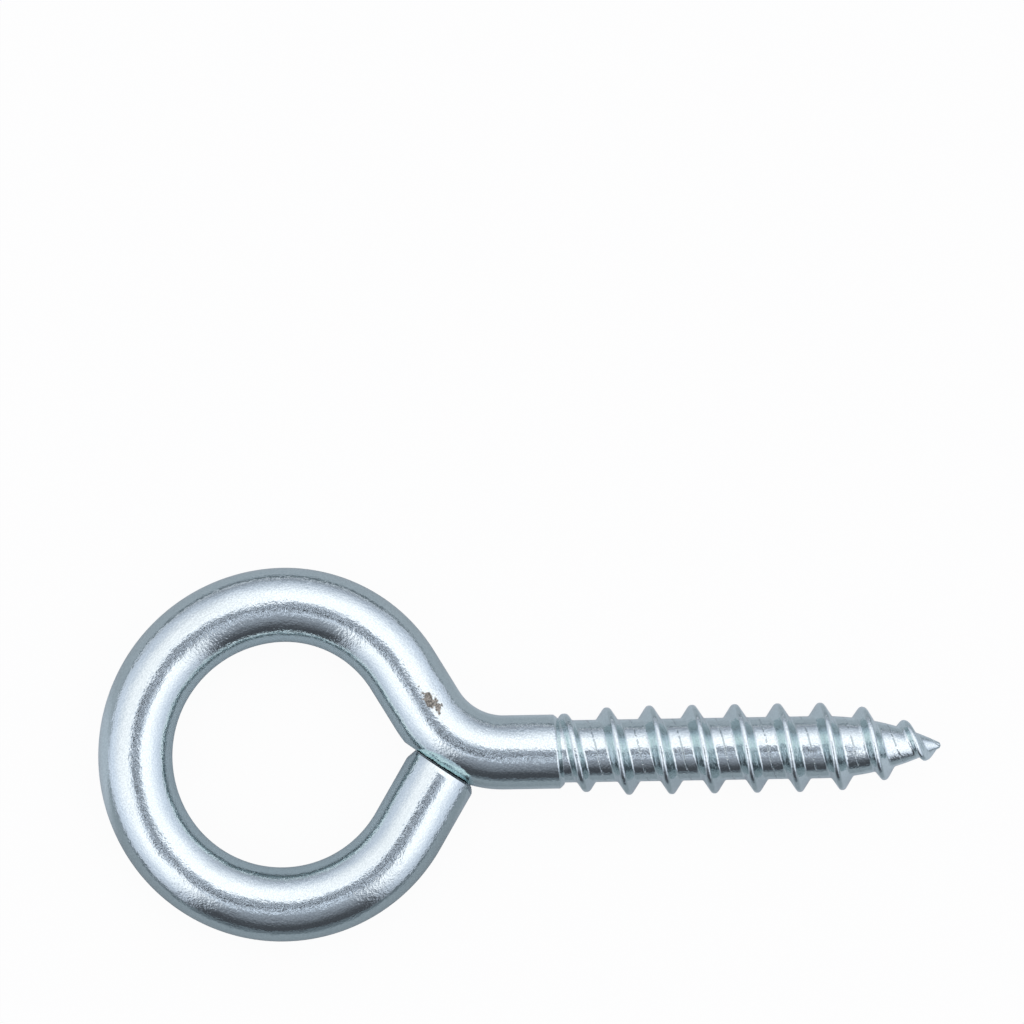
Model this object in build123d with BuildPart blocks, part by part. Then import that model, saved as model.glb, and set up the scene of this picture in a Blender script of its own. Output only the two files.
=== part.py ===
from build123d import *

import os
from math import atan2, ceil, cos, degrees, hypot, pi, radians, sin, sqrt, tan

# Screw eye, bent from one length of round wire with a wood thread rolled on its end.
# The eye lies in XY round the origin, and the shank runs out along +X. Sizes are in mm.

# Eye: arcs of the wire's centreline, tighter towards the shank and towards the free end
wire_diameter = 5.0
crown_radius = 10.2
crown_from = 94.6
crown_to = 210.6
shank_cheek_radius = 9.3
tail_cheek_radius = 9.8
throat_length = 3.2
bend_radius = 6.0
plain_shank = 3.85

# Tail: the sheared end of the wire, closed against the back of the bend
seat_depth = 0.3
seat_turn = 3.8
end_gap = 0.15
shear_angle = 7.0
print_angle = 45.0
print_foot = 1.3
roll_over_width = 0.82
roll_over_length = 0.3
roll_over_radius = 0.9
inner_corner_width = 0.3
inner_corner_length = 0.8

# Threaded end: the shoulder, and the core with its ogive point
thread_length = 25.55
shoulder_slant = 4.6
shoulder_chamfer = 0.36
core_diameter = 4.2
point_radius = 18.0
tip_radius = 0.25

# Thread: one right-hand ridge, low and blunt at the shoulder and low again along the point
pitch = 2.88
thread_height = 0.9
flank_angle = 32.0
crest_width = 0.26
first_height = 0.3
first_crest_width = 0.6
run_in_turns = 2.0
last_height = 0.35
tip_clearance = 0.5
start_angle = -25.0

# How it is built: cones that make up the point, sections on each turn, and the ridge's root in the core
point_cones = 5
sections_per_turn = 8
root_share = 0.9

wire_radius = wire_diameter / 2
core_radius = core_diameter / 2


def polar(radius, angle):
    """A point at a distance from the origin, at an angle in degrees."""
    return Vector(radius * cos(radians(angle)), radius * sin(radians(angle)))


# Each cheek starts where the crown ends, so its centre lies on the crown's radius there.
shank_cheek_centre = polar(crown_radius - shank_cheek_radius, crown_from)
tail_cheek_centre = polar(crown_radius - tail_cheek_radius, crown_to)

# The throat crosses from cheek to bend, tangent to both, and the bend ends on the X axis.
radii = shank_cheek_radius + bend_radius
bend_rise = bend_radius - shank_cheek_centre.Y
bend_run = sqrt(hypot(radii, throat_length) ** 2 - bend_rise**2)
bend_centre = Vector(shank_cheek_centre.X + bend_run, bend_radius)
throat_angle = degrees(atan2(bend_rise, bend_run) + atan2(throat_length, radii))

# The tail leaves its cheek straight towards the bend's centre, so it meets the bend squarely.
tail_reach = bend_centre - tail_cheek_centre
tail_run = sqrt(tail_reach.length**2 - tail_cheek_radius**2)
tail_angle = 360 + degrees(atan2(tail_reach.Y, tail_reach.X) - atan2(tail_run, tail_cheek_radius))
tail_length = tail_run - (bend_radius + wire_radius - seat_depth)
tail_direction = polar(1, tail_angle + 90)
tail_root = tail_cheek_centre + polar(tail_cheek_radius, tail_angle)
tail_end = tail_root + tail_direction * tail_length
seat_direction = polar(1, tail_angle + 90 - seat_turn)
tail_top = Plane(origin=tail_end, x_dir=seat_direction)
tail_side = Plane(origin=tail_end, x_dir=seat_direction, z_dir=-tail_top.y_dir)
shear_run = wire_diameter * tan(radians(shear_angle))
turn_run = wire_diameter * tan(radians(seat_turn))
print_depth = wire_diameter * tan(radians(print_angle))
outer_y = roll_over_width - wire_radius
inner_y = wire_radius - inner_corner_width
gap_middle = end_gap / 2

# The point's ogive is tangent to the core and to the ball of the tip.
shoulder_x = bend_centre.X + plain_shank
tip_x = shoulder_x + thread_length
point_rise = point_radius - core_radius
point_run = sqrt((point_radius - tip_radius) ** 2 - point_rise**2)
point_x = tip_x - tip_radius - point_run
point_xs = [point_x + point_run * cone / point_cones for cone in range(point_cones)]
point_turn = atan2(point_run, point_rise)
tip_start = (tip_x - tip_radius + tip_radius * sin(point_turn), tip_radius * cos(point_turn))
core_start_x = shoulder_x - wire_radius

# The ridge starts a quarter turn back, inside the plain shank, and stops short of the tip.
thread_start_x = shoulder_x - pitch / 4
thread_end_x = tip_x - tip_clearance


def core_radius_at(x):
    """The core's radius at a place along the shank: a cylinder, then the point's ogive."""
    if x <= point_x:
        return core_radius
    return sqrt(point_radius**2 - (x - point_x) ** 2) - point_rise


def ridge_at(x):
    """The height of the ridge over the core and the width of its crest, at a place along the shank."""
    growth = sin(pi / 2 * min((x - thread_start_x) / (run_in_turns * pitch), 1))
    decline = max((x - point_x) / (thread_end_x - point_x), 0) ** 2
    height = first_height + (thread_height - first_height) * growth - (thread_height - last_height) * decline
    return height, first_crest_width + (crest_width - first_crest_width) * growth


with BuildPart() as screw_eye:
    # The eye, the reverse bend and the shank, which runs on past the shoulder
    with BuildLine():
        tail_cheek = CenterArc(tail_cheek_centre, tail_cheek_radius, tail_angle, crown_to - tail_angle)
        CenterArc((0, 0), crown_radius, crown_to, crown_from - crown_to)
        cheek_turn = throat_angle - crown_from
        shank_cheek = CenterArc(shank_cheek_centre, shank_cheek_radius, crown_from, cheek_turn)
        throat = Line(shank_cheek @ 1, shank_cheek @ 1 + (shank_cheek % 1) * throat_length)
        bend = JernArc(throat @ 1, throat % 1, bend_radius, 90 - throat_angle)
        Line(bend @ 1, (shoulder_x + wire_diameter, 0))
    with BuildSketch(Plane(origin=tail_root, z_dir=tail_cheek % 0)):
        Circle(wire_radius)
    sweep()

    # The shoulder, where the shank ends a little aslant with its edge broken
    split(bisect_by=Plane(origin=(shoulder_x, 0, 0), z_dir=polar(1, shoulder_slant)), keep=Keep.BOTTOM)
    chamfer(screw_eye.faces().sort_by(Axis.X)[-1].edges(), shoulder_chamfer)

    # The tail, straight off its cheek and on into the back of the bend
    with BuildSketch(Plane(origin=tail_root, z_dir=tail_direction)):
        Circle(wire_radius)
    extrude(amount=tail_length + shear_run + turn_run)

    # The gap that parts them: the tail's sheared face, and the flat that it presses on the bend
    with BuildSketch(tail_side):
        Polygon(
            (shear_run, -wire_diameter), (0, 0), (-shear_run, wire_diameter),
            (end_gap, wire_diameter), (end_gap, 0), (end_gap + shear_run, -wire_diameter),
            align=None,
        )
    extrude(amount=wire_diameter, both=True, mode=Mode.SUBTRACT)

    # The print of the tail's edge above the flat, as wide as the face
    with BuildSketch(tail_side.offset(-outer_y)):
        Polygon(
            (0, print_foot), (end_gap, print_foot),
            (end_gap + print_depth, print_foot + wire_diameter), (0, print_foot + wire_diameter),
            align=None,
        )
    extrude(amount=outer_y - inner_y, mode=Mode.SUBTRACT)

    # The corners of the end: the shear drags the outer one over, and the inner one is cut flat
    with BuildSketch(tail_top.rotated((0, -shear_angle, 0))):
        with BuildLine():
            roll_over = RadiusArc((0, outer_y), (-roll_over_length, -wire_radius), roll_over_radius)
            Polyline(
                roll_over @ 1, (-roll_over_length, -wire_diameter),
                (gap_middle, -wire_diameter), (gap_middle, outer_y), roll_over @ 0,
            )
        make_face()
        Polygon(
            (gap_middle, inner_y), (0, inner_y), (-inner_corner_length, wire_radius),
            (-inner_corner_length, wire_diameter), (gap_middle, wire_diameter),
            align=None,
        )
    extrude(amount=wire_radius, both=True, mode=Mode.SUBTRACT)

    # The core and its point, turned round the X axis from a root inside the shank
    with BuildSketch():
        with BuildLine():
            point = [(x, core_radius_at(x)) for x in point_xs]
            barrel = Polyline((core_start_x, core_radius), *point, tip_start)
            tip = RadiusArc(tip_start, (tip_x, 0), tip_radius)
            Polyline(tip @ 1, (core_start_x, 0), barrel @ 0)
        make_face()
    revolve(axis=Axis.X)

    # The ridge of the thread, lofted in lengths of about a turn, so that each meets the core cleanly
    lengths = ceil((thread_end_x - thread_start_x) / pitch)
    for length in range(lengths):
        for step in range(sections_per_turn + 1):
            share = (length + step / sections_per_turn) / lengths
            x = thread_start_x + (thread_end_x - thread_start_x) * share
            angle = start_angle + 360 * (x - shoulder_x) / pitch
            height, width = ridge_at(x)
            crest = core_radius_at(x) + height
            foot_x = width / 2 + (crest - root_share * core_radius_at(x)) * tan(radians(flank_angle))
            left_foot = (-foot_x, root_share * core_radius_at(x - foot_x))
            right_foot = (foot_x, root_share * core_radius_at(x + foot_x))
            with BuildSketch(Plane(origin=(x, 0, 0)).rotated((angle, 0, 0))):
                Polygon(left_foot, right_foot, (width / 2, crest), (-width / 2, crest), align=None)
        loft()

screw_eye.part.label = "screw_eye"

os.makedirs("parts", exist_ok=True)
export_step(screw_eye.part, "parts/screw_eye.step")
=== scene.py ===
from math import atan2, ceil, cos, degrees, hypot, pi, radians, sin, sqrt, tan

import bmesh
import bpy
from mathutils import Matrix, Vector


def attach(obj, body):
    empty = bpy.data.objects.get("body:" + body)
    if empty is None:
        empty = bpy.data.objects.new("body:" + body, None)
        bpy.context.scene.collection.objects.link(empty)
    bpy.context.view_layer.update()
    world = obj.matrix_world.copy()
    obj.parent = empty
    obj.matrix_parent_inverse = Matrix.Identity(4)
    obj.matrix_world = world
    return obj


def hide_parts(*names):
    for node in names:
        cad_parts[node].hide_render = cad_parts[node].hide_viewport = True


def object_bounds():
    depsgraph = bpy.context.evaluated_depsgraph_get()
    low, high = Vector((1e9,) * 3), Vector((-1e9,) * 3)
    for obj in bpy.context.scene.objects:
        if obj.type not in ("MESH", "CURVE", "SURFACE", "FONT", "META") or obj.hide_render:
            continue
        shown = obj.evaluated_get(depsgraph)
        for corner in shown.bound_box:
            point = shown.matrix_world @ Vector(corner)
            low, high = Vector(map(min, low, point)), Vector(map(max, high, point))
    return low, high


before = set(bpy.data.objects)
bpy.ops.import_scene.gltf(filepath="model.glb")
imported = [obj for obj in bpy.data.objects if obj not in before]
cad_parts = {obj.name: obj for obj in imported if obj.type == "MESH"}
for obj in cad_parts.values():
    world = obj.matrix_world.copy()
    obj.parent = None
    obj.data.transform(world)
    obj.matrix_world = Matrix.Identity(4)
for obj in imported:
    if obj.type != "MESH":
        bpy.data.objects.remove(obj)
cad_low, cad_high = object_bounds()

# Screw eye of zinc plated steel wire, as it lies on a pale table. Sizes are in mm until a mesh is done.
MM = 0.001

# The eye: arcs of the wire's centreline round the origin, then the throat, the bend and the shank along X
WIRE_RADIUS = 2.5
CROWN_RADIUS = 10.2
CROWN_FROM = 94.6
CROWN_TO = 210.6
SHANK_CHEEK_RADIUS = 9.3
TAIL_CHEEK_RADIUS = 9.8
THROAT = 3.2
BEND_RADIUS = 6.0
PLAIN_SHANK = 3.85

# The sheared tail with its edge drawn over, and its print on the back of the bend
SEAT_DEPTH = 0.3
SEAT_TURN = 3.8
END_GAP = 0.1
SHEAR_ANGLE = radians(7)
PRINT_ANGLE = radians(50)
PRINT_FOOT = 1.5
PRINT_STEP = 0.04
ROLL_OVER_WIDTH = 0.82
ROLL_OVER_LENGTH = 0.3
ROLL_OVER_RADIUS = 0.9
INNER_CORNER_WIDTH = 0.3
INNER_CORNER_LENGTH = 0.8
LIP_SLOPE = 0.25

# The shoulder, the core and its point
SHOULDER_SLANT = radians(4.6)
SHOULDER_CHAMFER = 0.36
CHAMFER_ROUND = 0.05
CORE_RADIUS = 2.1
POINT_RADIUS = 18.0
TIP_RADIUS = 0.25

# The thread, with its crest and root as the rolling dies round them
PITCH = 2.88
THREAD_HEIGHT = 0.9
FLANK = tan(radians(32))
CREST_WIDTH = 0.26
FIRST_HEIGHT = 0.3
FIRST_CREST_WIDTH = 0.35
RUN_IN_TURNS = 2.0
LAST_HEIGHT = 0.35
TIP_CLEARANCE = 0.5
START_ANGLE = -25.0
CREST_ROUND = 0.12
ROOT_ROUND = 0.2

# How fine the meshes are: sides of the wire, rings along each length of it, and steps of the thread
SIDES = 112
TAIL_RINGS = 60
TAIL_CHEEK_RINGS = 76
CROWN_RINGS = 76
SHANK_CHEEK_RINGS = 40
THROAT_RINGS = 14
BEND_RINGS = 56
SHANK_RINGS = 32
CHAMFER_RINGS = 6
STEPS_PER_TURN = 96
STEPS_PER_PITCH = 42

# How near a cut takes a point to be, how near points merge, on the wire and at the tip, and what is an edge
CUT_REACH = 1e-5
MERGE_REACH = 1e-4
TIP_MERGE_REACH = 5e-3
EDGE_ANGLE = radians(38)

# The plating's grain, from shallow dents to grit: size, detail, stretch along the wire, and depth. The real
# crystals are too fine to show in the render, so the finest two are as coarse as they need to be to show.
GRAINS = [
    (2.2, 1.0, 1.5, 0.085),
    (0.5, 2.0, 1.6, 0.02),
    (0.17, 1.0, 1.1, 0.0145),
    (0.1, 1.0, 1.0, 0.009),
]

# The zinc's bright and duller patches, and the darker grit in both, coarser than the real one so as to show
PATCH_SIZE = 1.5
BRIGHT_ZINC = "#E6F1F1"
BRIGHT_ROUGHNESS = 0.07
DULL_ZINC = "#D8E6E6"
DULL_ROUGHNESS = 0.12
GRIT_SIZE = 0.11
GRIT_ZINC = "#D0DDDE"

# A tarnished spot on the bend: its middle, its half lengths, how it lies, how ragged its edge is, and its
# tones, its roughness and how far it covers the zinc
STAIN_AT = (9.85, 3.55, 2.3)
STAIN_SIZE = (1.35, 0.5, 2.0)
STAIN_TURN = radians(-50)
STAIN_GRAIN = 0.3
STAIN_RAG = 2.4
STAIN_DARK = "#504E48"
STAIN_PALE = "#918D83"
STAIN_ROUGHNESS = 0.35
STAIN_COVER = 0.95

# Marks of the rolling dies, a dashed line between two ridges: half its width, its depth, how far past the
# shoulder it starts, the size of its dashes, how soft its sides are, and its tone and how far it covers
MARK_WIDTH = 0.045
MARK_DEPTH = 0.03
MARK_FROM = 0.5
DASH_SIZE = 0.28
MARK_SOFTNESS = 0.7
MARK_GREY = "#8C979B"
MARK_COVER = 0.5

# The light: how bright the tent is at the horizon, beside the shank and past its ends, and from its top up,
# and how much of that a seam leaves
HORIZON_BESIDE = 0.33
HORIZON_PAST_ENDS = 0.8
WALL_LIGHT = 1.42
WALL_TOP = 0.76
SEAM_DIRECTION = (-0.61, 0.35, 0.71)
SEAM_LIGHT = 0.85

# Its open doorway: how wide it is against its distance, and the room that shows through it, low and high
DOORWAY_WIDTH = 0.6
ROOM_LOW = 0.09
ROOM_HIGH = 0.5

# The tint of the light, and of what comes down from high up
COOL_WHITE = "#EAEEFF"
HIGH_WHITE = "#FFFAFF"

# The camera's dark spot overhead, a rig of dark and bright parts with a ragged edge
LENS_DIRECTION = (0.0, -0.156, 0.988)
RIG_SCALE = 14.0
RIG_RAG = 0.15
RIG_DARK = 0.02
RIG_BRIGHT = 1.15

# The table's top in metres, its white, and how much of that is its own light to the camera
TABLE_RADIUS = 1.5
TABLE_SIDES = 64
TABLE_WHITE = "#F7F8F8"
TABLE_GLOW = "#FEFEFE"
TABLE_LIFT = 0.96

# Painted reflection: the greys of painted shade that the metal shows the table in, under the shank, on its
# far and near sides and inside the eye, and the painted dark and white bands further off
PAINTED_SHADE_UNDER_SHANK = "#C8D0D4"
PAINTED_SHADE_FAR_SIDE = "#B0B8BB"
PAINTED_SHADE_NEAR_SIDE = "#9EA7AA"
PAINTED_SHADE_INSIDE_EYE = "#ACB7BC"
PAINTED_DARK_BAND = "#727B7F"
PAINTED_WHITE_BAND = "#E4E8EA"

# The camera, straight above the table: the width and the middle of what it sees, its roll and its height
VIEW_WIDTH = 69.05
VIEW_CENTRE = (15.47, 16.2)
VIEW_ROLL = radians(0.95)
LENS_HEIGHT = 600.0


def polar(radius, angle):
    """A point of the table's plane at a distance and an angle in degrees from the origin."""
    return Vector((radius * cos(radians(angle)), radius * sin(radians(angle)), 0))


up = Vector((0, 0, 1))

# Each cheek starts where the crown ends, so its centre lies on the crown's radius there.
shank_cheek_centre = polar(CROWN_RADIUS - SHANK_CHEEK_RADIUS, CROWN_FROM)
tail_cheek_centre = polar(CROWN_RADIUS - TAIL_CHEEK_RADIUS, CROWN_TO)

# The throat crosses from cheek to bend, tangent to both, and the bend ends on the X axis.
radii = SHANK_CHEEK_RADIUS + BEND_RADIUS
bend_rise = BEND_RADIUS - shank_cheek_centre.y
bend_run = sqrt(hypot(radii, THROAT) ** 2 - bend_rise**2)
bend_centre = Vector((shank_cheek_centre.x + bend_run, BEND_RADIUS, 0))
throat_angle = degrees(atan2(bend_rise, bend_run) + atan2(THROAT, radii))

# The tail leaves its cheek straight towards the bend's centre, and its seat is turned a little from that.
tail_reach = bend_centre - tail_cheek_centre
tail_run = sqrt(tail_reach.length**2 - TAIL_CHEEK_RADIUS**2)
tail_angle = 360 + degrees(atan2(tail_reach.y, tail_reach.x) - atan2(tail_run, TAIL_CHEEK_RADIUS))
tail_length = tail_run - (BEND_RADIUS + WIRE_RADIUS - SEAT_DEPTH)
tail_direction = polar(1, tail_angle + 90)
tail_end = tail_cheek_centre + polar(TAIL_CHEEK_RADIUS, tail_angle) + tail_direction * tail_length
seat_direction = polar(1, tail_angle + 90 - SEAT_TURN)
seat_across = polar(1, tail_angle + 180 - SEAT_TURN)
sheared = seat_direction * cos(SHEAR_ANGLE) + up * sin(SHEAR_ANGLE)

# The point's ogive is tangent to the core and to the ball of the tip, where the ridge fades out.
shoulder_x = bend_centre.x + PLAIN_SHANK
tip_x = cad_high.x / MM
point_rise = POINT_RADIUS - CORE_RADIUS
point_run = sqrt((POINT_RADIUS - TIP_RADIUS) ** 2 - point_rise**2)
point_x = tip_x - TIP_RADIUS - point_run
ball_x = tip_x - TIP_RADIUS + TIP_RADIUS * sin(atan2(point_run, point_rise))
thread_start_x = shoulder_x - PITCH / 4
thread_end_x = tip_x - TIP_CLEARANCE


# ---- Shapes

def edges_of(items):
    return [item for item in items if isinstance(item, bmesh.types.BMEdge)]


def verts_of(items):
    return [item for item in items if isinstance(item, bmesh.types.BMVert)]


def run_on(bm, ring, count, run=Vector(), centre=Vector(), radius=0.0, turn=0.0):
    """Carries a ring of edges on along a straight or an arc, and notes how far along the wire it lies."""
    along = bm.verts.layers.float["along"]
    reach = run.length + radius * abs(radians(turn))
    for _ in range(count):
        made = bmesh.ops.spin(
            bm, geom=ring, cent=centre, axis=up, dvec=run / count, angle=radians(turn) / count, steps=1,
            use_duplicate=False,
        )
        ring = edges_of(made["geom_last"])
        for vert in {vert for edge in ring for vert in edge.verts}:
            vert[along] += reach / count
    return ring


def near(bm, place, reach):
    """The faces within a distance of a place."""
    return [face for face in bm.faces if (face.calc_center_median() - place).length < reach]


def cut(bm, faces, place, normal, clear=False):
    """Cuts the faces along a plane, and may clear what lies in front of it. Returns the edges of the cut."""
    geom = {item for face in faces for item in (face, *face.edges, *face.verts)}
    made = bmesh.ops.bisect_plane(
        bm, geom=list(geom), dist=CUT_REACH, plane_co=place, plane_no=normal, clear_outer=clear,
        clear_inner=False,
    )
    return edges_of(made["geom_cut"])


def in_tail(place):
    """A place from the end of the tail: along its seat, across it towards the eye, and up."""
    offset = place - tail_end
    return offset.dot(seat_direction), offset.dot(seat_across), offset.z


def shear_tail(bm):
    """Shears the tail off aslant, and draws its upper edge on to a lip that ends square to the seat."""
    rim = cut(bm, bm.faces, tail_end, sheared, clear=True)
    lip = bmesh.ops.extrude_edge_only(bm, edges=rim)["geom"]
    for vert in verts_of(lip):
        reach = max(in_tail(vert.co)[2], 0) * tan(SHEAR_ANGLE)
        vert.co += seat_direction * reach - up * reach * LIP_SLOPE
    bmesh.ops.contextual_create(bm, geom=edges_of(lip))
    cut(bm, bm.faces, tail_end, up)
    bmesh.ops.remove_doubles(bm, verts=bm.verts, dist=MERGE_REACH)


def roll_corners(bm):
    """Pulls the sides of the sheared end in: a round roll-over outside, a flat corner inside."""
    outer_y = WIRE_RADIUS - ROLL_OVER_WIDTH
    chord = Vector((-ROLL_OVER_LENGTH, ROLL_OVER_WIDTH))
    sag = sqrt(ROLL_OVER_RADIUS**2 - chord.length_squared / 4)
    inwards = Vector((-chord.y, chord.x)).normalized()
    centre = Vector((0, outer_y)) + chord / 2 + inwards * sag
    for vert in bm.verts:
        along, across, height = in_tail(vert.co)
        back = min(along * cos(SHEAR_ANGLE) + height * sin(SHEAR_ANGLE), 0)
        if back > -ROLL_OVER_LENGTH and across < 0:
            limit = centre.y + sqrt(max(ROLL_OVER_RADIUS**2 - (back - centre.x) ** 2, 0))
            vert.co += seat_across * max(-limit - across, 0)
        if back > -INNER_CORNER_LENGTH and across > 0:
            limit = WIRE_RADIUS - INNER_CORNER_WIDTH * (1 + back / INNER_CORNER_LENGTH)
            vert.co -= seat_across * max(across - limit, 0)


def press_seat(bm, faces):
    """Presses the flat and the print of the tail's edge into the back of the bend."""
    place = tail_end + seat_direction * END_GAP
    foot = place + up * PRINT_FOOT
    printed = seat_direction * cos(PRINT_ANGLE) - up * sin(PRINT_ANGLE)
    outer_side = ROLL_OVER_WIDTH - WIRE_RADIUS
    inner_side = WIRE_RADIUS - INNER_CORNER_WIDTH
    sides = (outer_side - PRINT_STEP, outer_side, inner_side, inner_side + PRINT_STEP)
    planes = [(place, up), (foot, up), (place, sheared), (place, seat_direction), (foot, printed)]
    planes += [(tail_end + seat_across * side, seat_across) for side in sides]
    for at, normal in planes:
        kept = [face for face in faces if face.is_valid]
        beside = {other for face in kept for edge in face.edges for other in edge.link_faces}
        cut(bm, beside, at, normal)
        faces = [face for face in beside if face.is_valid]
    for vert in {vert for face in faces for vert in face.verts}:
        along, across, height = in_tail(vert.co)
        seat = END_GAP
        if height < 0:
            seat -= height * tan(SHEAR_ANGLE)
        elif outer_side - PRINT_STEP / 2 < across < inner_side + PRINT_STEP / 2:
            seat += max(height - PRINT_FOOT, 0) * tan(PRINT_ANGLE)
        vert.co += seat_direction * max(seat - along, 0)


def cut_shoulder(bm):
    """Ends the shank at its slanted shoulder, with the edge broken and a little rounded."""
    place = Vector((shoulder_x, 0, 0))
    slant = Vector((cos(SHOULDER_SLANT), sin(SHOULDER_SLANT), 0))
    reach = 2 * WIRE_RADIUS
    rim = cut(bm, near(bm, place, reach), place, slant, clear=True)
    bmesh.ops.contextual_create(bm, geom=rim)
    for ring in range(CHAMFER_RINGS):
        back = SHOULDER_CHAMFER * (1 - ring / CHAMFER_RINGS)
        cut(bm, near(bm, place, reach), place - slant * back, slant)
    for vert in {vert for face in near(bm, place, reach) for vert in face.verts}:
        back = (vert.co - place).dot(slant)
        run = back + SHOULDER_CHAMFER
        if run > 0:
            inwards = (place + slant * back - vert.co).normalized()
            vert.co += inwards * (hypot(run, CHAMFER_ROUND) - CHAMFER_ROUND)


def lay_out(bm, straight):
    """Keeps each corner's place on the straight wire, in metres along and across it, as a UV map."""
    straight_wire = bm.loops.layers.uv.new("straight_wire")
    for face in bm.faces:
        for loop in face.loops:
            loop[straight_wire].uv = Vector(straight(loop.vert)) * MM


def wire_mesh():
    """The bent wire: the sheared tail, the eye, the reverse bend and the shank up to its shoulder."""
    bm = bmesh.new()
    bm.verts.layers.float.new("along")
    across = bm.verts.layers.float.new("across")
    spare = WIRE_RADIUS / 2
    start = Matrix.Translation(tail_end + tail_direction * spare)
    start = start @ Matrix.Rotation(radians(tail_angle - 90), 4, "Z") @ Matrix.Rotation(pi / 2, 4, "Y")
    circle = bmesh.ops.create_circle(bm, segments=SIDES, radius=WIRE_RADIUS, matrix=start)
    for vert in circle["verts"]:
        vert[across] = in_tail(vert.co)[1]
    ring = list({edge for vert in circle["verts"] for edge in vert.link_edges})
    ring = run_on(bm, ring, TAIL_RINGS, run=-tail_direction * (tail_length + spare))
    shear_tail(bm)
    roll_corners(bm)

    tail_turn = CROWN_TO - tail_angle
    crown_turn = CROWN_FROM - CROWN_TO
    cheek_turn = throat_angle - CROWN_FROM
    bend_turn = 90 - throat_angle
    ring = run_on(
        bm, ring, TAIL_CHEEK_RINGS, centre=tail_cheek_centre, radius=TAIL_CHEEK_RADIUS, turn=tail_turn
    )
    ring = run_on(bm, ring, CROWN_RINGS, radius=CROWN_RADIUS, turn=crown_turn)
    eye = set(bm.faces)
    ring = run_on(
        bm, ring, SHANK_CHEEK_RINGS, centre=shank_cheek_centre, radius=SHANK_CHEEK_RADIUS, turn=cheek_turn
    )
    ring = run_on(bm, ring, THROAT_RINGS, run=polar(THROAT, throat_angle - 90))
    ring = run_on(bm, ring, BEND_RINGS, centre=bend_centre, radius=BEND_RADIUS, turn=bend_turn)
    run_on(bm, ring, SHANK_RINGS, run=Vector((PLAIN_SHANK + spare, 0, 0)))

    press_seat(bm, [face for face in near(bm, tail_end, 2 * WIRE_RADIUS) if face not in eye])
    cut_shoulder(bm)
    along = bm.verts.layers.float["along"]
    across = bm.verts.layers.float["across"]
    lay_out(bm, lambda vert: (vert[along], vert[across]))
    return bm


def core_radius_at(x):
    """The core's radius along the shank: a cylinder, the point's ogive, and the ball of the tip."""
    if x <= point_x:
        return CORE_RADIUS
    if x < ball_x:
        return sqrt(POINT_RADIUS**2 - (x - point_x) ** 2) - point_rise
    return sqrt(max(TIP_RADIUS**2 - (x - tip_x + TIP_RADIUS) ** 2, 0))


def ridge_height(offset, ridge_x):
    """How far the ridge stands over the core, at an offset along the shank from the middle of its crest."""
    growth = sin(pi / 2 * min(max((ridge_x - thread_start_x) / (RUN_IN_TURNS * PITCH), 0), 1))
    decline = max((ridge_x - point_x) / (thread_end_x - point_x), 0) ** 2
    height = FIRST_HEIGHT + (THREAD_HEIGHT - FIRST_HEIGHT) * growth - (THREAD_HEIGHT - LAST_HEIGHT) * decline
    width = FIRST_CREST_WIDTH + (CREST_WIDTH - FIRST_CREST_WIDTH) * growth
    height *= min(max((tip_x - ridge_x) / TIP_CLEARANCE, 0), 1)
    flank = height + (width / 2 - abs(offset)) / FLANK
    crest_blend = max(CREST_ROUND - abs(flank - height), 0) ** 2 / (4 * CREST_ROUND)
    flank = min(flank, height) - crest_blend
    root_blend = max(ROOT_ROUND - abs(flank), 0) ** 2 / (4 * ROOT_ROUND)
    return max(flank, 0) + min(root_blend, height)


def thread_mesh():
    """The core and its thread as one helical skin, from a root inside the shank to the tip."""
    bm = bmesh.new()

    # A line of one pitch, from root to root over a crest, is turned once round the axis and then repeated.
    first = bmesh.ops.create_vert(bm, co=(0, 0, CORE_RADIUS))["vert"]
    bmesh.ops.spin(
        bm, geom=first, axis=up, dvec=(PITCH / STEPS_PER_PITCH, 0, 0), steps=STEPS_PER_PITCH,
        use_duplicate=False,
    )
    first_crest_x = shoulder_x + PITCH * (90 - START_ANGLE) / 360
    first_root_x = first_crest_x - 2.5 * PITCH
    bmesh.ops.translate(bm, verts=bm.verts, vec=(first_root_x, 0, 0))
    bmesh.ops.spin(
        bm, geom=list(bm.edges), axis=(1, 0, 0), dvec=(PITCH / STEPS_PER_TURN, 0, 0), angle=2 * pi,
        steps=STEPS_PER_TURN, use_duplicate=False,
    )
    first_turn = bm.verts[:] + bm.edges[:] + bm.faces[:]
    for number in range(1, ceil((tip_x - first_root_x) / PITCH + 0.5)):
        copy = bmesh.ops.duplicate(bm, geom=first_turn)["geom"]
        bmesh.ops.translate(bm, verts=verts_of(copy), vec=(PITCH * number, 0, 0))
    bmesh.ops.remove_doubles(bm, verts=bm.verts, dist=MERGE_REACH)
    inside_shank = Vector((shoulder_x - WIRE_RADIUS / 2, 0, 0))
    rim = cut(bm, bm.faces, inside_shank, (-1, 0, 0), clear=True)
    bmesh.ops.contextual_create(bm, geom=rim)
    cut(bm, bm.faces, Vector((tip_x, 0, 0)), (1, 0, 0), clear=True)

    # The skin takes its radius from the core and the ridge, and closes on the axis at the tip.
    for vert in bm.verts:
        angle = atan2(vert.co.z, vert.co.y)
        turn = (vert.co.x - shoulder_x) / PITCH - (degrees(angle) - START_ANGLE) / 360
        offset = (turn - round(turn)) * PITCH
        closing = min((tip_x - vert.co.x) / TIP_RADIUS, 1)
        radius = core_radius_at(vert.co.x) + ridge_height(offset, vert.co.x - offset) * closing
        vert.co.y = radius * cos(angle)
        vert.co.z = radius * sin(angle)
    bmesh.ops.remove_doubles(bm, verts=bm.verts, dist=TIP_MERGE_REACH)
    lay_out(bm, lambda vert: (vert.co.x, vert.co.y))
    return bm


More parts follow.
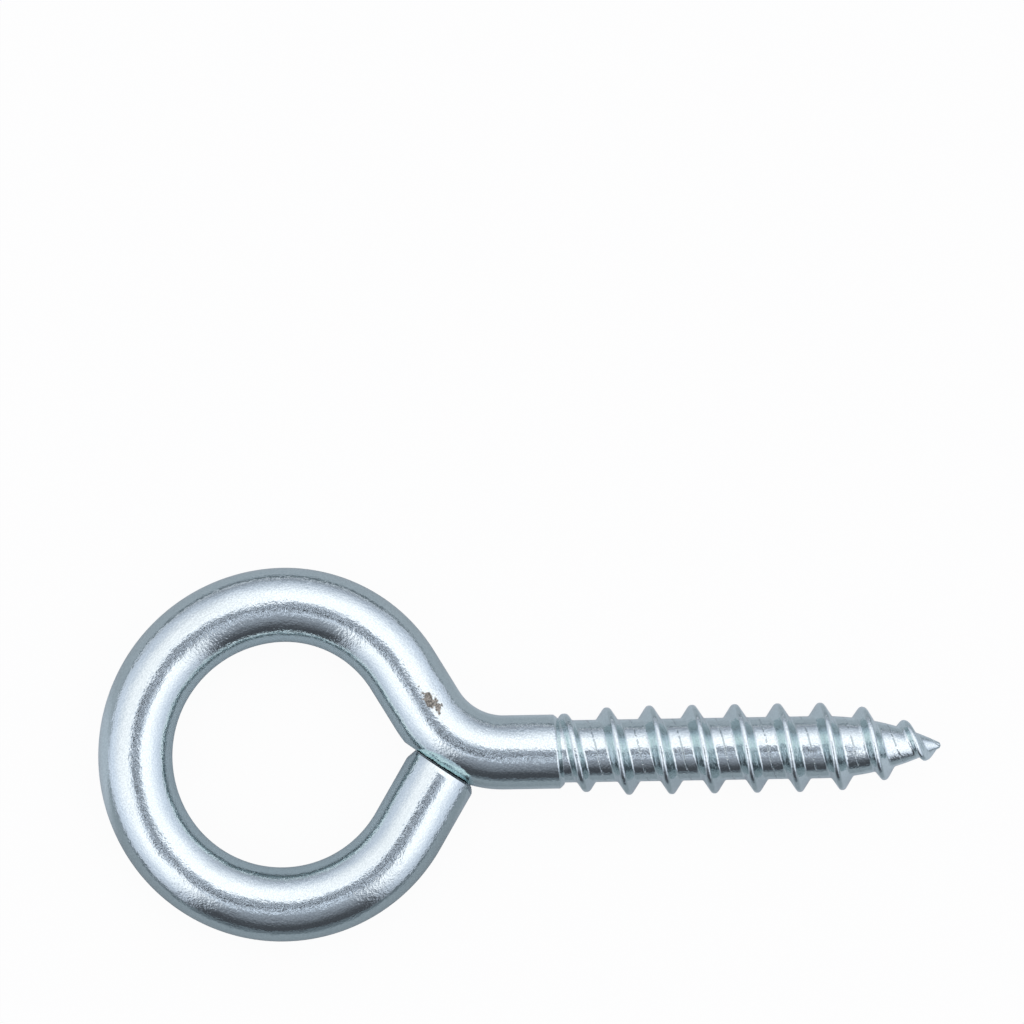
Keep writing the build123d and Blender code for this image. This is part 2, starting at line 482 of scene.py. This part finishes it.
def added(bm, name):
    """Makes a mesh into an object and puts it in the scene."""
    mesh = bpy.data.meshes.new(name)
    bm.to_mesh(mesh)
    bm.free()
    made = bpy.data.objects.new(name, mesh)
    bpy.context.scene.collection.objects.link(made)
    return made


def finished(bm, name):
    """Turns a mesh in mm into an object in metres, with its faces outwards and its soft edges smooth."""
    bmesh.ops.recalc_face_normals(bm, faces=bm.faces)
    bmesh.ops.scale(bm, vec=(MM, MM, MM), verts=bm.verts)
    made = added(bm, name)
    made.data.shade_smooth()
    made.data.set_sharp_from_angle(angle=EDGE_ANGLE)
    return made


def joined(body, tool):
    """The union of two closed pieces as one mesh."""
    union = body.modifiers.new("union", "BOOLEAN")
    union.operation = "UNION"
    union.solver = "EXACT"
    union.object = tool
    depsgraph = bpy.context.evaluated_depsgraph_get()
    mesh = bpy.data.meshes.new_from_object(body.evaluated_get(depsgraph))
    body.modifiers.clear()
    body.data = mesh
    bpy.data.objects.remove(tool)
    return body


# ---- Materials

SMOOTH = {"interpolation_type": "SMOOTHSTEP"}


def linear(code):
    """An sRGB hex colour as the linear RGBA that a shader takes."""
    parts = [int(code[i:i + 2], 16) / 255 for i in (1, 3, 5)]
    return (*(c / 12.92 if c <= 0.04045 else ((c + 0.055) / 1.055) ** 2.4 for c in parts), 1)


def add_node(tree, kind, inputs=(), **settings):
    """Adds a shader node with its settings, and returns its outputs.

    The inputs come in order or by name. Each is a value, a hex colour, or another node's output to link.
    """
    node = tree.nodes.new("ShaderNode" + kind)
    for name, value in settings.items():
        setattr(node, name, value)
    for socket, value in inputs.items() if isinstance(inputs, dict) else enumerate(inputs):
        if isinstance(value, bpy.types.NodeSocket):
            tree.links.new(value, node.inputs[socket])
        else:
            node.inputs[socket].default_value = linear(value) if isinstance(value, str) else value
    return node.outputs


def passing(tree, first, second, value, low, high):
    """One tone where a value is under the low one, which passes into another over the high one."""
    share = add_node(tree, "MapRange", [value, low, high, 0.0, 1.0], **SMOOTH)["Result"]
    return add_node(tree, "Mix", {"Factor": share, "A": first, "B": second}, data_type="RGBA")["Result"]


def grain(tree, place, size, detail, stretch=1.0):
    """Noise with features of a size in mm, longer along the wire by the stretch."""
    place = add_node(tree, "Mapping", {"Vector": place, "Scale": (1 / stretch, 1, 1)})["Vector"]
    return add_node(tree, "TexNoise", {"Vector": place, "Scale": 1 / (size * MM), "Detail": detail})["Fac"]


def new_material(name):
    material = bpy.data.materials.new(name)
    material.use_nodes = True
    material.node_tree.nodes.clear()
    return material, material.node_tree


def straight_place(tree):
    """Where a point would lie if the wire were straight: along it, across it, and up."""
    run = add_node(tree, "UVMap", uv_map="straight_wire")["UV"]
    run = add_node(tree, "SeparateXYZ", [run])
    place = add_node(tree, "TexCoord")["Object"]
    height = add_node(tree, "SeparateXYZ", [place])["Z"]
    return add_node(tree, "CombineXYZ", [run["X"], run["Y"], height])["Vector"]


def stain_mask(tree):
    """Where the tarnished spot lies, with a ragged edge."""
    place = add_node(tree, "TexCoord")["Object"]
    about = {"Vector": place, "Location": Vector(STAIN_AT) * MM, "Rotation": (0, 0, STAIN_TURN)}
    about["Scale"] = Vector(STAIN_SIZE) * MM
    about = add_node(tree, "Mapping", about, vector_type="TEXTURE")["Vector"]
    away = add_node(tree, "VectorMath", [about], operation="LENGTH")["Value"]
    ragged = [grain(tree, place, STAIN_GRAIN, 3.0), STAIN_RAG, away]
    ragged = add_node(tree, "Math", ragged, operation="MULTIPLY_ADD")[0]
    return add_node(tree, "MapRange", [ragged, 1.75, 2.0, 1.0, 0.0], **SMOOTH)["Result"]


def roll_marks(tree):
    """The dashed line that the rolling dies leave half way between two ridges."""
    place = add_node(tree, "TexCoord")["Object"]
    parts = add_node(tree, "SeparateXYZ", [place])
    half_way = START_ANGLE / 360 - shoulder_x / PITCH + 0.5
    along = add_node(tree, "Math", [parts["X"], 1 / (PITCH * MM), half_way], operation="MULTIPLY_ADD")[0]
    angle = add_node(tree, "Math", [parts["Z"], parts["Y"]], operation="ARCTAN2")[0]
    turns = add_node(tree, "Math", [angle, -1 / (2 * pi), along], operation="MULTIPLY_ADD")[0]
    offset = add_node(tree, "Math", [turns, 0.5, -0.5], operation="WRAP")[0]
    offset = add_node(tree, "Math", [offset], operation="ABSOLUTE")[0]
    inner_side = (1 - MARK_SOFTNESS) * MARK_WIDTH / PITCH
    outer_side = (1 + MARK_SOFTNESS) * MARK_WIDTH / PITCH
    line = add_node(tree, "MapRange", [offset, inner_side, outer_side, 1.0, 0.0], **SMOOTH)["Result"]
    dashes = [grain(tree, place, DASH_SIZE, 1.0), 0.44, 0.52, 0.0, 1.0]
    dashes = add_node(tree, "MapRange", dashes, **SMOOTH)["Result"]
    dashes = add_node(tree, "Math", [line, dashes], operation="MULTIPLY")[0]
    on_thread = [parts["X"], (shoulder_x + MARK_FROM) * MM]
    on_thread = add_node(tree, "Math", on_thread, operation="GREATER_THAN")[0]
    return add_node(tree, "Math", [dashes, on_thread], operation="MULTIPLY")[0]


def zinc_plated_steel():
    """Clear-blue zinc over cold drawn wire: a cool mirror, broken up by a fine grain and shallow dents."""
    material, tree = new_material("zinc_plated_steel")
    place = straight_place(tree)
    patches = grain(tree, place, PATCH_SIZE, 3.0)
    stain = stain_mask(tree)
    marks = roll_marks(tree)

    # The duller patches are rougher, and their grain is shallower. The tarnish is nearly matt.
    roughness = [patches, 0.35, 0.65, BRIGHT_ROUGHNESS, DULL_ROUGHNESS]
    roughness = add_node(tree, "MapRange", roughness)["Result"]
    roughness = {"Factor": stain, "A": roughness, "B": STAIN_ROUGHNESS}
    roughness = add_node(tree, "Mix", roughness, data_type="FLOAT")["Result"]
    strength = add_node(tree, "MapRange", [patches, 0.35, 0.65, 1.0, 0.5])["Result"]
    dents = {"Height": marks, "Distance": MARK_DEPTH * MM}
    normal = add_node(tree, "Bump", dents, invert=True)["Normal"]
    for size, detail, stretch, depth in GRAINS:
        dents = {"Height": grain(tree, place, size, detail, stretch), "Distance": depth * MM}
        dents.update({"Strength": strength, "Normal": normal})
        normal = add_node(tree, "Bump", dents)["Normal"]

    # The zinc's pale tones, with darker grit, then the marks and the tarnish on top
    grit = grain(tree, place, GRIT_SIZE, 1.0)
    tones = {"Factor": patches, "A": BRIGHT_ZINC, "B": DULL_ZINC}
    tones = add_node(tree, "Mix", tones, data_type="RGBA")["Result"]
    tones = passing(tree, GRIT_ZINC, tones, grit, 0.34, 0.66)
    tarnish = passing(tree, STAIN_DARK, STAIN_PALE, grit, 0.34, 0.66)
    for mask, cover, tone in ((marks, MARK_COVER, MARK_GREY), (stain, STAIN_COVER, tarnish)):
        share = add_node(tree, "Math", [mask, cover], operation="MULTIPLY")[0]
        tones = {"Factor": share, "A": tones, "B": tone}
        tones = add_node(tree, "Mix", tones, data_type="RGBA")["Result"]
    metal = {"Base Color": tones, "Metallic": 1.0, "Roughness": roughness, "Normal": normal}
    metal = add_node(tree, "BsdfPrincipled", metal)["BSDF"]
    add_node(tree, "OutputMaterial", {"Surface": metal})
    return material


def pale_table_painted_reflection():
    """A matt white table top. Its reflection in the metal is painted: grey painted shade, with a painted
    dark band and a white one beside the shank.
    """
    material, tree = new_material("pale_table_painted_reflection")
    place = add_node(tree, "TexCoord")["Object"]
    run = add_node(tree, "SeparateXYZ", [place])["Y"]
    aside = add_node(tree, "Math", [run], operation="ABSOLUTE")[0]
    from_eye = add_node(tree, "VectorMath", [place], operation="LENGTH")["Value"]

    # Painted reflection, for glossy rays only: greys of painted shade close by and inside the eye, then a
    # dark band, and white on the far side
    painted_reflection = passing(tree, PAINTED_SHADE_UNDER_SHANK, PAINTED_SHADE_FAR_SIDE, run, 3 * MM, 8 * MM)
    painted_reflection = passing(tree, PAINTED_SHADE_NEAR_SIDE, painted_reflection, run, -8 * MM, -3 * MM)
    painted_reflection = passing(tree, PAINTED_SHADE_INSIDE_EYE, painted_reflection, from_eye, (CROWN_RADIUS - WIRE_RADIUS) * MM, CROWN_RADIUS * MM)
    painted_reflection = passing(tree, painted_reflection, PAINTED_DARK_BAND, aside, 24 * MM, 32 * MM)
    painted_reflection = passing(tree, painted_reflection, PAINTED_WHITE_BAND, run, 60 * MM, 70 * MM)

    # Only glossy rays see the painted reflection and its painted shade; the camera sees the table white.
    rays = add_node(tree, "LightPath")
    colour = {"Factor": rays["Is Glossy Ray"], "A": TABLE_WHITE, "B": painted_reflection}
    colour = add_node(tree, "Mix", colour, data_type="RGBA")["Result"]
    matt = add_node(tree, "BsdfDiffuse", {"Color": colour})[0]
    glow = add_node(tree, "Emission", {"Color": TABLE_GLOW, "Strength": 1.0})[0]
    lift = add_node(tree, "Math", [rays["Is Camera Ray"], TABLE_LIFT], operation="MULTIPLY")[0]
    surface = add_node(tree, "MixShader", [lift, matt, glow])[0]
    add_node(tree, "OutputMaterial", {"Surface": surface})
    return material


def light_tent():
    """A white tent all round, open on the near side, with the camera's dark spot overhead."""
    world = bpy.data.worlds.new("light_tent")
    world.use_nodes = True
    tree = world.node_tree
    tree.nodes.clear()
    direction = add_node(tree, "TexCoord")["Generated"]
    parts = add_node(tree, "SeparateXYZ", [direction])
    level = add_node(tree, "VectorMath", [direction, (1, 1, 0)], operation="MULTIPLY")["Vector"]
    outwards = add_node(tree, "VectorMath", [level], operation="LENGTH")["Value"]
    sideways = add_node(tree, "Math", [parts["X"]], operation="ABSOLUTE")[0]

    # The walls brighten from the horizon up, but for a seam.
    horizon = [sideways, 0.3, 1.0, HORIZON_BESIDE, HORIZON_PAST_ENDS]
    horizon = add_node(tree, "MapRange", horizon, **SMOOTH)["Result"]
    wall = add_node(tree, "MapRange", [parts["Z"], 0.0, WALL_TOP, horizon, WALL_LIGHT])["Result"]
    seam = add_node(tree, "VectorMath", [direction, SEAM_DIRECTION], operation="DOT_PRODUCT")["Value"]
    seam = add_node(tree, "MapRange", [seam, 0.75, 0.98, 1.0, SEAM_LIGHT], **SMOOTH)["Result"]
    wall = add_node(tree, "Math", [wall, seam], operation="MULTIPLY")[0]

    # The doorway is on the near side, and shows the room.
    beside = add_node(tree, "Math", [outwards, -DOORWAY_WIDTH, sideways], operation="MULTIPLY_ADD")[0]
    beside = add_node(tree, "MapRange", [beside, -0.15, 0.06, 0.0, 1.0], **SMOOTH)["Result"]
    behind = add_node(tree, "MapRange", [parts["Y"], -0.12, 0.02, 0.0, 1.0], **SMOOTH)["Result"]
    walled = add_node(tree, "Math", [beside, behind], operation="MAXIMUM")[0]
    room = add_node(tree, "MapRange", [parts["Z"], 0.26, 1.0, ROOM_LOW, ROOM_HIGH], **SMOOTH)["Result"]
    tent = add_node(tree, "Mix", {"Factor": walled, "A": room, "B": wall}, data_type="FLOAT")["Result"]

    # The camera and its rig
    rig = add_node(tree, "TexNoise", {"Vector": direction, "Scale": RIG_SCALE, "Detail": 2.0})["Fac"]
    lens = add_node(tree, "VectorMath", [direction, LENS_DIRECTION], operation="DOT_PRODUCT")["Value"]
    spot = add_node(tree, "Math", [rig, RIG_RAG, lens], operation="MULTIPLY_ADD")[0]
    spot = add_node(tree, "MapRange", [spot, 1.007, 1.037, 0.0, 1.0], **SMOOTH)["Result"]
    rig = add_node(tree, "MapRange", [rig, 0.47, 0.55, RIG_DARK, RIG_BRIGHT], **SMOOTH)["Result"]
    tent = add_node(tree, "Mix", {"Factor": spot, "A": tent, "B": rig}, data_type="FLOAT")["Result"]

    # The light is a little blue low down, in the doorway and off the rig. The camera itself sees white.
    seen = add_node(tree, "LightPath")["Is Camera Ray"]
    strength = add_node(tree, "Mix", {"Factor": seen, "A": tent, "B": 1.0}, data_type="FLOAT")["Result"]
    tint = passing(tree, COOL_WHITE, HIGH_WHITE, parts["Z"], 0.2, 0.85)
    tint = add_node(tree, "Mix", {"Factor": walled, "A": COOL_WHITE, "B": tint}, data_type="RGBA")["Result"]
    for share, tone in ((spot, COOL_WHITE), (seen, "#FFFFFF")):
        tint = add_node(tree, "Mix", {"Factor": share, "A": tint, "B": tone}, data_type="RGBA")["Result"]
    background = add_node(tree, "Background", {"Color": tint, "Strength": strength})[0]
    add_node(tree, "OutputWorld", {"Surface": background})
    return world


# ---- The piece

wire = finished(wire_mesh(), "screw_eye_wire")
thread = finished(thread_mesh(), "screw_eye_thread")
screw = joined(wire, thread)
screw.name = "screw_eye_body"
screw.data.materials.clear()
screw.data.materials.append(zinc_plated_steel())
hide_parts("screw_eye")
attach(screw, "root")

# ---- The table, the light and the camera

table = bmesh.new()
table_place = Matrix.Translation((0, 0, cad_low.z))
bmesh.ops.create_circle(table, cap_ends=True, segments=TABLE_SIDES, radius=TABLE_RADIUS, matrix=table_place)
table_top = added(table, "table_top")
table_top.data.materials.append(pale_table_painted_reflection())

bpy.context.scene.world = light_tent()

camera_data = bpy.data.cameras.new("camera")
camera_data.sensor_width = 36.0
camera_data.lens = camera_data.sensor_width * LENS_HEIGHT / VIEW_WIDTH
camera_data.clip_start = 0.01
camera_data.clip_end = 10.0
camera = bpy.data.objects.new("camera", camera_data)
camera.location = (VIEW_CENTRE[0] * MM, VIEW_CENTRE[1] * MM, LENS_HEIGHT * MM)
camera.rotation_euler = (0, 0, -VIEW_ROLL)
bpy.context.scene.collection.objects.link(camera)
bpy.context.scene.camera = camera
bpy.context.scene.view_settings.view_transform = "Standard"
